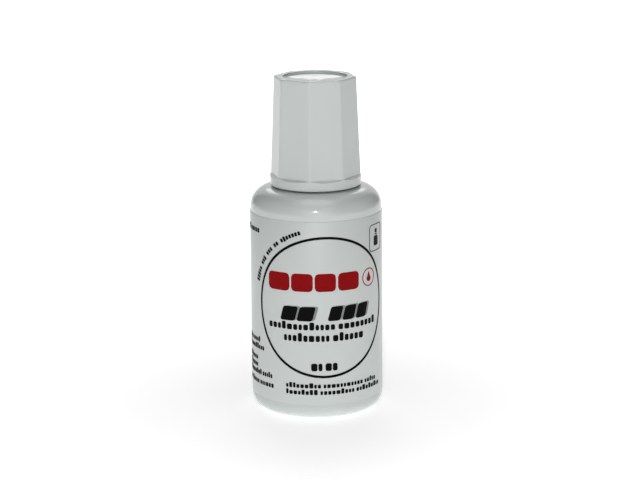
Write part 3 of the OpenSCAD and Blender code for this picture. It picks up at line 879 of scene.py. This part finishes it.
# %% [markdown]
# Red carries the boldest row, as four heavy blocks, and a small ring with a drop in it at the
# row's right end. The drop could be drawn point by point, but a disc whose top is drawn in and
# pulled up has the same even curve with two short rules.

# %% Red print
RED_Z, RED_H, RED_CORNER = 31.95, 4.1, 0.9
red = bmesh.new()
for x, width in ((-11.2, 5.6), (-5.5, 5.0), (-0.2, 4.8), (5.35, 5.3)):
    stamp(red, x, RED_Z, width, RED_H, RED_CORNER)

RING_X, RING_R, RING_LINE, RING_STEPS = 11.2, 2.1, 0.24, 40
DROP_R, DROP_TIP = 0.72, 0.85
drop_z = RED_Z - 0.3
outline(red, [(RING_X + RING_R * math.cos(a), RED_Z + RING_R * math.sin(a))
              for a in (2 * math.pi * i / RING_STEPS for i in range(RING_STEPS))], RING_LINE)
drop = bmesh.ops.create_circle(red, cap_ends=True, segments=24, radius=DROP_R,
                               matrix=Matrix.Translation((RING_X, 0, drop_z))
                               @ Matrix.Rotation(math.radians(90), 4, "X"))["verts"]
for v in drop:
    rise = max(0, v.co.z - drop_z) / DROP_R
    v.co.z += DROP_TIP * rise ** 4
    v.co.x = RING_X + (v.co.x - RING_X) * (1 - 0.35 * rise ** 2)
roll_on(red, "red_print", red_ink, "red_ink", "print_red")

# %% [markdown]
# The insert is pressed into the neck. Its flange covers the rim and its small hole wipes the brush.
# It could be a tube and a cone joined by a Boolean, but like all thin moulded rings it is one even
# wall, so one closed profile is turned.

# %% Wiper insert
WIPER_R = 5.78
WIPER_WALL = 0.65
WIPER_HOLE_R = 2.75
WIPER_FOOT = 54.0
WIPER_LIP = 0.8

insert = bmesh.new()
wiper_bore = WIPER_R - WIPER_WALL
lathe(insert, [
    (wiper_bore, liner_bottom, 0.3),
    (wiper_bore, WIPER_FOOT + WIPER_LIP + wiper_bore - WIPER_HOLE_R, 0.5),
    (WIPER_HOLE_R, WIPER_FOOT + WIPER_LIP, 0.15),
    (WIPER_HOLE_R, WIPER_FOOT, 0.1),
    (WIPER_R, WIPER_FOOT + 0.8 * (WIPER_R - WIPER_HOLE_R), 0.4),
    (WIPER_R, rim_z, 0),
    (NECK_R - 0.3, rim_z, 0),
    (NECK_R - 0.3, liner_bottom, 0.2)], steps=96)
finish_piece(insert, "wiper_insert", ldpe, "bottle", "insert_plastic", "neck_wiper")

# %% [markdown]
# The foam washer is a flat ring cut from sheet, with its edges very slightly crushed. A Solidify
# modifier on a flat ring would leave those edges sharp, so it is turned with rounded corners.

# %% Foam washer
WASHER_R = 7.9
WASHER_HOLE_R = 1.9

washer = bmesh.new()
lathe(washer, [(WASHER_HOLE_R, liner_bottom, 0.1), (WASHER_R, liner_bottom, 0.15),
               (WASHER_R, liner_top, 0.15), (WASHER_HOLE_R, liner_top, 0.1)], steps=96)
finish_piece(washer, "foam_washer", foam, "liner", "foam", "cap_liner")

# %% [markdown]
# The cap is one closed surface, so it is modelled as one loop of edges that travels: up the eight
# sides, over the edge, down into the recess and to its middle, and from the sides down over the
# collar, under it and up the inside. Each stop is one extrude of the loop, followed by a rule for
# where its points go. The loop has the same number of points all the way, so it can be an
# eight-cornered shape at one stop and a circle at the next without a seam.

# %% Helpers for the travelling loop
CAP_SIDES = 8
CAP_TURN = math.radians(-16.7 - 90)
COLLAR_TOP = cap_z + 2.3
LEDGE = 0.7
LEDGE_SLOPE = 0.5       # how far the ledge drops for each millimetre outwards
CORNER_R = collar_r - 0.05
CORNER_ROUND = 0.32
TAPER = 0.9
TOP_EDGE = 0.35


def loop_on(bm, edges, place):
    """Extrudes a loop of edges and places each new point by a rule. Returns the new loop."""
    grown = bmesh.ops.extrude_edge_only(bm, edges=edges)["geom"]
    for v in grown:
        if isinstance(v, bmesh.types.BMVert):
            v.co = place(v.co)
    return [e for e in grown if isinstance(e, bmesh.types.BMEdge)]


def circle_at(r, z):
    return lambda p: Vector((p.x, p.y, 0)).normalized() * r + Vector((0, 0, z))


def side_distance(p):
    """How far a point is from the axis, measured square to the cap's nearest flat side."""
    step = 2 * math.pi / CAP_SIDES
    angle = (math.atan2(p.y, p.x) - CAP_TURN) % step - step / 2
    return math.hypot(p.x, p.y) * math.cos(angle)


print("cap of", CAP_SIDES, "sides, turned", round(math.degrees(CAP_TURN) + 90, 1), "degrees")

# %% [markdown]
# The start is a circle of eight points with each corner bevelled, and its long edges divided. The
# ledge above the collar is a sloping cut that runs out at the corners: at every stop its height
# comes from how far the point is from the axis, square to its own flat side.

# %% Cap, outside
def drawn_in(amount, z):
    """Draws the loop in from where it is, keeping its shape, and takes it to a height."""
    return lambda p: Vector((p.x, p.y, 0)) * (1 - amount / CORNER_R) + Vector((0, 0, z))


def let_out(share, z):
    """Moves each point out by a share of the way that is left to the collar."""
    def place(p):
        flat = Vector((p.x, p.y, 0))
        return flat * (1 + share * (collar_r / flat.length - 1)) + Vector((0, 0, z))
    return place


def ledge_foot(p):
    out = circle_at(collar_r, 0)(p)
    return out + Vector((0, 0, COLLAR_TOP - LEDGE_SLOPE * (side_distance(out) - flat_r)))


shell = bmesh.new()
bmesh.ops.create_circle(shell, segments=CAP_SIDES, radius=CORNER_R,
                        matrix=Matrix.Rotation(CAP_TURN, 4, "Z"))
bmesh.ops.bevel(shell, geom=shell.verts[:], offset=CORNER_ROUND, segments=4, profile=0.5,
                affect="VERTICES", material=-1)
bmesh.ops.subdivide_edges(shell, edges=[e for e in shell.edges if e.calc_length() > 2], cuts=11)
bmesh.ops.translate(shell, vec=(0, 0, COLLAR_TOP + LEDGE), verts=shell.verts[:])
start = shell.edges[:]
flat_r = CORNER_R * math.cos(math.pi / CAP_SIDES)

side_height = cap_top - TOP_EDGE - COLLAR_TOP - LEDGE
loop = start
done = 0
for part in (0.02, 0.5, 0.98, 1):
    height = COLLAR_TOP + LEDGE + part * side_height
    loop = loop_on(shell, loop, drawn_in(TAPER * (part - done), height))
    done = part
done = 0
for angle in (math.radians(degrees) for degrees in (22.5, 45, 67.5, 90)):
    inset = TOP_EDGE * (1 - math.cos(angle))
    height = cap_top - TOP_EDGE * (1 - math.sin(angle))
    loop = loop_on(shell, loop, drawn_in(inset - done, height))
    done = inset
print("cap sides:", len(shell.verts), "points")

# %% [markdown]
# The recess in the top is round, with a low wall and a floor that sinks gently to the middle. There
# is the gate, the spot where the plastic entered the mould: a shallow dimple with a nub left by the
# broken-off sprue. A Boolean could cut all this, but it would break the even faces of the cap, so
# the loop simply travels on inwards.

# %% Recess and gate
RECESS_R = 7.2
RECESS_DEPTH = 1.0
DISH_RISE = 0.5
DISH_REACH = 5.0       # how far from its edge the floor has levelled out


def travel(bm, edges, stops):
    """Takes the loop through circles given as (radius, height), and closes it at the axis."""
    for r, z in stops:
        edges = loop_on(bm, edges, circle_at(r, z))
    points = list({v for e in edges for v in e.verts})
    bmesh.ops.pointmerge(bm, verts=points, merge_co=(0, 0, stops[-1][1]))


recess_z = cap_top - RECESS_DEPTH
dish = [(RECESS_R - 0.35 - step, recess_z + DISH_RISE * (1 - step / DISH_REACH) ** 2)
        for step in (0, 0.5, 1.5, 2.5, 3.5)]
travel(shell, loop, [
    (RECESS_R + 0.14, cap_top), (RECESS_R + 0.04, cap_top - 0.04), (RECESS_R, cap_top - 0.14),
    (RECESS_R - 0.03, recess_z + DISH_RISE + 0.18),
    (RECESS_R - 0.13, recess_z + DISH_RISE + 0.05)] + dish + [
    (1.5, recess_z), (1.3, recess_z - 0.05), (1.1, recess_z - 0.15), (0.6, recess_z - 0.15),
    (0.5, recess_z - 0.05), (0.42, recess_z - 0.02), (0.2, recess_z - 0.02)])
print("recess", RECESS_DEPTH, "mm deep, floor dished by", DISH_RISE)

# %% [markdown]
# From the start the loop also travels down. The sides curve into the ledge, the ledge runs out to
# the round collar, and the collar turns under to the skirt. Inside are the bore for the thread, the
# ledge that holds the washer, the hollow above it and the boss that grips the brush stem.

# %% Cap, ledge, collar and inside
SKIRT_R = 8.05
CORE_R = 7.7
CORE_TOP = 73.6
BOSS_R = 3.4
PLUG_R = 1.62

loop = start
for share, height in ((0, 0.4), (0.01, 0.1), (0.08, 0.0), (0.12, -0.02)):
    loop = loop_on(shell, loop, let_out(share, COLLAR_TOP + height * LEDGE))
loop = loop_on(shell, loop, ledge_foot)
travel(shell, loop, [
    (collar_r, COLLAR_TOP - 0.7), (collar_r, cap_z + 0.3), (collar_r - 0.04, cap_z + 0.14),
    (collar_r - 0.13, cap_z + 0.05), (collar_r - 0.28, cap_z), (SKIRT_R + 0.4, cap_z),
    (SKIRT_R + 0.15, cap_z + 0.1), (SKIRT_R, cap_z + 0.35), (SKIRT_R, liner_top),
    (CORE_R, liner_top), (CORE_R - 0.45, CORE_TOP - 0.4), (CORE_R - 0.6, CORE_TOP - 0.12),
    (CORE_R - 0.9, CORE_TOP),
    (BOSS_R + 0.5, CORE_TOP), (BOSS_R + 0.15, CORE_TOP - 0.12), (BOSS_R, CORE_TOP - 0.5),
    (BOSS_R, liner_top + 0.15), (BOSS_R - 0.15, liner_top), (PLUG_R + 0.15, liner_top),
    (PLUG_R, liner_top + 0.15), (PLUG_R, stem_top), (0.5, stem_top + 0.02)])
print("whole cap:", len(shell.verts), "points")

# %% [markdown]
# Eight thin ribs stiffen the hollow and press on the washer. Each is a box whose ends are buried in
# the boss and in the wall. The thread inside the skirt is kept in low relief, a tenth of a
# millimetre clear of the neck's, so that the cap can be lifted straight off in the model. Ribs cut
# in by extrusion would need the loop to leave its circle, so they are laid in as boxes.

# %% Ribs and the cap's thread
RIBS = 8
RIB_T = 0.8
RIB_FROM, RIB_TO = BOSS_R - 0.3, CORE_R + 0.1         # both ends are inside other plastic
RIB_FOOT, RIB_TOP = liner_top + 0.02, CORE_TOP + 0.12
for i in range(RIBS):
    rib = bmesh.ops.create_cube(shell, size=1.0)["verts"]
    bmesh.ops.scale(shell, vec=(RIB_TO - RIB_FROM, RIB_T, RIB_TOP - RIB_FOOT), verts=rib)
    bmesh.ops.translate(shell, verts=rib,
                        vec=((RIB_TO + RIB_FROM) / 2, 0, (RIB_TOP + RIB_FOOT) / 2))
    bmesh.ops.rotate(shell, cent=(0, 0, 0), verts=rib,
                     matrix=Matrix.Rotation(CAP_TURN + 2 * math.pi * (i + 0.5) / RIBS, 3, "Z"))
thread(shell, root_r=SKIRT_R + 0.15, crest_r=7.86, foot_z=54.0, root_half=0.7, crest_half=0.35)
finish_piece(shell, "screw_cap", polypropylene, "cap", "cap_plastic", "cap_shell", crisp=True)

# %% [markdown]
# The brush stem is moulded with a plug that is pressed into the cap, a small flange under the
# washer, a long rod and a thicker end with a blind hole for the bristles. Two faint rings mark
# where the end is crimped on to the tuft. All of it is round, so the lathe makes it in one piece.

# %% Brush stem
FERRULE_R = 2.0
FERRULE_H = 5.0
STEM_R = 1.5
FLANGE_R = 2.4
TUFT_R = 1.53
TUFT_DEPTH = 4.0

stem = bmesh.new()
crimps = [(FERRULE_R - dent, stem_foot + middle + along, 0)
          for middle in (1.3, 2.4) for along, dent in ((-0.25, 0), (0, 0.12), (0.25, 0))]
lathe(stem, [
    (0, stem_foot + TUFT_DEPTH, 0), (TUFT_R, stem_foot + TUFT_DEPTH, 0), (TUFT_R, stem_foot, 0.15),
    (FERRULE_R, stem_foot, 0.3)] + crimps + [
    (FERRULE_R, stem_foot + FERRULE_H, 0.3),
    (STEM_R, stem_foot + FERRULE_H + FERRULE_R - STEM_R, 0.3),
    (STEM_R, liner_bottom - 1.6, 0.3), (FLANGE_R, liner_bottom - 0.8, 0.1),
    (FLANGE_R, liner_bottom, 0.05), (1.6, liner_bottom, 0), (1.6, stem_top, 0.3), (0, stem_top, 0)
], closed=False, steps=64)
finish_piece(stem, "brush_stem_rod", ldpe, "cap", "stem_plastic", "brush_stem")

# %% [markdown]
# The brush is a tuft of nylon filaments. Each is a thin cone of five sides, planted on a spiral so
# that the tuft is evenly full, and cut at a few heights so that it can bend. One rule then shapes
# the whole tuft: it swells a little below the ferrule and draws in to a wet point. Blender's hair
# could do it too, but the export needs a mesh, and 170 cones are enough to read as filaments.

# %% Bristles
FILAMENTS = 170
FILAMENT_R = 0.085
ROOT_Z = stem_foot + TUFT_DEPTH - 0.1
GOLDEN_ANGLE = math.radians(137.508)
TUFT_REACH = 1.4       # how far from the axis the outermost filament is planted
TIP_ROUND = 1.6        # how much higher the outermost filament ends
CUTS = 6

tuft = bmesh.new()
for i in range(FILAMENTS):
    reach = TUFT_REACH * math.sqrt((i + 0.5) / FILAMENTS)
    across = Vector((reach * math.cos(i * GOLDEN_ANGLE), reach * math.sin(i * GOLDEN_ANGLE), 0))
    end_z = tip_z + TIP_ROUND * (reach / TUFT_REACH) ** 2 + chance.uniform(0.05, 0.9)
    bmesh.ops.create_cone(tuft, cap_ends=True, segments=5, radius1=FILAMENT_R * 0.55,
                          radius2=FILAMENT_R, depth=ROOT_Z - end_z,
                          matrix=Matrix.Translation(across + Vector((0, 0, (ROOT_Z + end_z) / 2)))
                          @ Matrix.Rotation(chance.uniform(0, 1), 4, "Z"))
length = stem_foot - tip_z
for k in range(CUTS):
    bmesh.ops.bisect_plane(tuft, geom=tuft.verts[:] + tuft.edges[:] + tuft.faces[:], dist=1e-5,
                           plane_co=(0, 0, tip_z + length * (k + 0.6) / CUTS), plane_no=(0, 0, 1))
for v in tuft.verts:
    down = min(1, max(0, (stem_foot - v.co.z) / length))
    full = 1 + 0.14 * math.sin(math.pi * min(1, down * 1.5)) - 0.42 * max(0, down - 0.45) ** 1.3
    v.co.x *= full
    v.co.y *= full
finish_piece(tuft, "bristle_tuft", nylon, "cap", "nylon_bristle", "bristles")

# %% [markdown]
# The mixing ball is a plain bearing ball, which rests on the base beside the wall. An icosphere has
# more even faces, but the rings of a UV sphere give a polished ball cleaner reflections.

# %% Mixing ball
ball_low, ball_high = box_mm("mixing_ball")
ball = bmesh.new()
bmesh.ops.create_uvsphere(ball, u_segments=64, v_segments=32, radius=(ball_high.z - ball_low.z) / 2,
                          matrix=Matrix.Translation((ball_low + ball_high) / 2))
finish_piece(ball, "bearing_ball", stainless, "bottle", "ball_steel", "mixing_ball")

# %% [markdown]
# Two CAD nodes keep their shape: the fluid and the clip in the brush. They could be modelled again
# like the rest, but flat faces and plain turned surfaces are already exact in the CAD model, so
# they only take the materials made above.

# %% Materials of the kept nodes
for node, material in (("correction_fluid", fluid), ("bristle_clip", wire)):
    frame["nodes"][node].material_slots[0].material = material
    print(node, "is", material.name)

# %% [markdown]
# The bottle stands on a light table, a matt sheet of opal acrylic that glows softly and lights the
# rounded base from below. More light on the scene would make the sheet white too, but it would
# wash out the bottle. So only rays from the camera, and those that the pieces reflect, see the
# sheet as white. Beside the bottle that level is turned down, a painted shade round the foot, so
# that the soft shadow still shows.

# %% Floor
TABLE_GLOW = 0.68
# The lower seen level beside the bottle paints a shade round its foot.
TABLE_SEEN = 0.48, 1.0         # beside the bottle and away from it


def opal_acrylic():
    material, tree, output, place = new_material("matt_opal_acrylic")
    speckle = add(tree, "ShaderNodeTexNoise",
                  {"Vector": place, "Scale": every(3), "Detail": 3.0}).outputs["Fac"]
    gloss = add(tree, "ShaderNodeMapRange",
                {"Value": speckle, "To Min": 0.7, "To Max": 0.8}).outputs[0]
    tint = add(tree, "ShaderNodeMix",
               {MIX_FACTOR: speckle, MIX_A: colour("#F4F4F3"), MIX_B: colour("#F7F7F6")},
               data_type="RGBA").outputs[MIX_RESULT]
    matt = add(tree, "ShaderNodeBsdfPrincipled", {
        "Base Color": tint, "Roughness": gloss,
        "Specular IOR Level": 0.1})
    rays = add(tree, "ShaderNodeLightPath")
    seen = add(tree, "ShaderNodeMath",
               {0: rays.outputs["Is Camera Ray"], 1: rays.outputs["Is Glossy Ray"]},
               operation="MAXIMUM").outputs[0]
    away = add(tree, "ShaderNodeVectorMath", {0: place}, operation="LENGTH").outputs["Value"]
    # Painted shade: the level seen by the camera falls from white far away to darker beside the
    # bottle.
    white = add(tree, "ShaderNodeMapRange",
                {"Value": away, "From Min": 20 * MM, "From Max": 130 * MM,
                 "To Min": TABLE_SEEN[0], "To Max": TABLE_SEEN[1]}).outputs[0]
    level = add(tree, "ShaderNodeMapRange",
                {"Value": seen, "To Min": TABLE_GLOW, "To Max": white}).outputs[0]
    glow = add(tree, "ShaderNodeEmission", {"Color": colour("#FFFFFF"), "Strength": level})
    both = add(tree, "ShaderNodeAddShader", {0: matt.outputs[0], 1: glow.outputs[0]})
    tree.links.new(both.outputs[0], output.inputs[0])
    return material


FLOOR_HALF = 4000
ground = bmesh.new()
bmesh.ops.create_grid(ground, x_segments=1, y_segments=1, size=FLOOR_HALF * MM)
floor_mesh = bpy.data.meshes.new("floor")
ground.to_mesh(floor_mesh)
ground.free()
floor_mesh.materials.append(opal_acrylic())
floor = bpy.data.objects.new("floor", floor_mesh)
bpy.context.scene.collection.objects.link(floor)
print("floor", 2 * FLOOR_HALF, "mm wide, glows at", TABLE_GLOW)

# %% [markdown]
# Round the table is a plain white studio, and the camera sees it white all round. The whole of it
# could show in reflections too, but a glossy white piece in an all-white room loses its edges. So
# what is reflected is a white arch that runs from behind the bottle over its top, with the dark
# room on both sides of it.

# %% World
ARCH = 0.42, 0.55      # sines of the angles to the side at which the arch starts to fade and ends
world = bpy.data.worlds.new("studio")
world.use_nodes = True
bpy.context.scene.world = world
tree = world.node_tree
tree.nodes.clear()
world_output = add(tree, "ShaderNodeOutputWorld")
rays = add(tree, "ShaderNodeLightPath")
direction = add(tree, "ShaderNodeTexCoord").outputs["Generated"]
sideways = add(tree, "ShaderNodeVectorMath",
               {0: direction, 1: camera.matrix_basis.to_3x3() @ Vector((1, 0, 0))},
               operation="DOT_PRODUCT").outputs["Value"]
aside = add(tree, "ShaderNodeMath", {0: sideways}, operation="ABSOLUTE").outputs[0]
arch = add(tree, "ShaderNodeMapRange", {"Value": aside, "From Min": ARCH[0], "From Max": ARCH[1],
                                        "To Min": 1.0, "To Max": 0.0}).outputs[0]
strength = add(tree, "ShaderNodeMath",
               {0: rays.outputs["Is Glossy Ray"], 1: arch}, operation="MULTIPLY").outputs[0]
for kind in ("Is Camera Ray", "Is Transmission Ray"):
    strength = add(tree, "ShaderNodeMath",
                   {0: strength, 1: rays.outputs[kind]}, operation="MAXIMUM").outputs[0]
sky = add(tree, "ShaderNodeBackground", {"Color": colour("#FFFFFF"), "Strength": strength})
tree.links.new(sky.outputs[0], world_output.inputs[0])
bpy.context.scene.view_settings.view_transform = "Standard"
print("white arch", round(2 * math.degrees(math.asin(ARCH[0]))), "degrees wide")
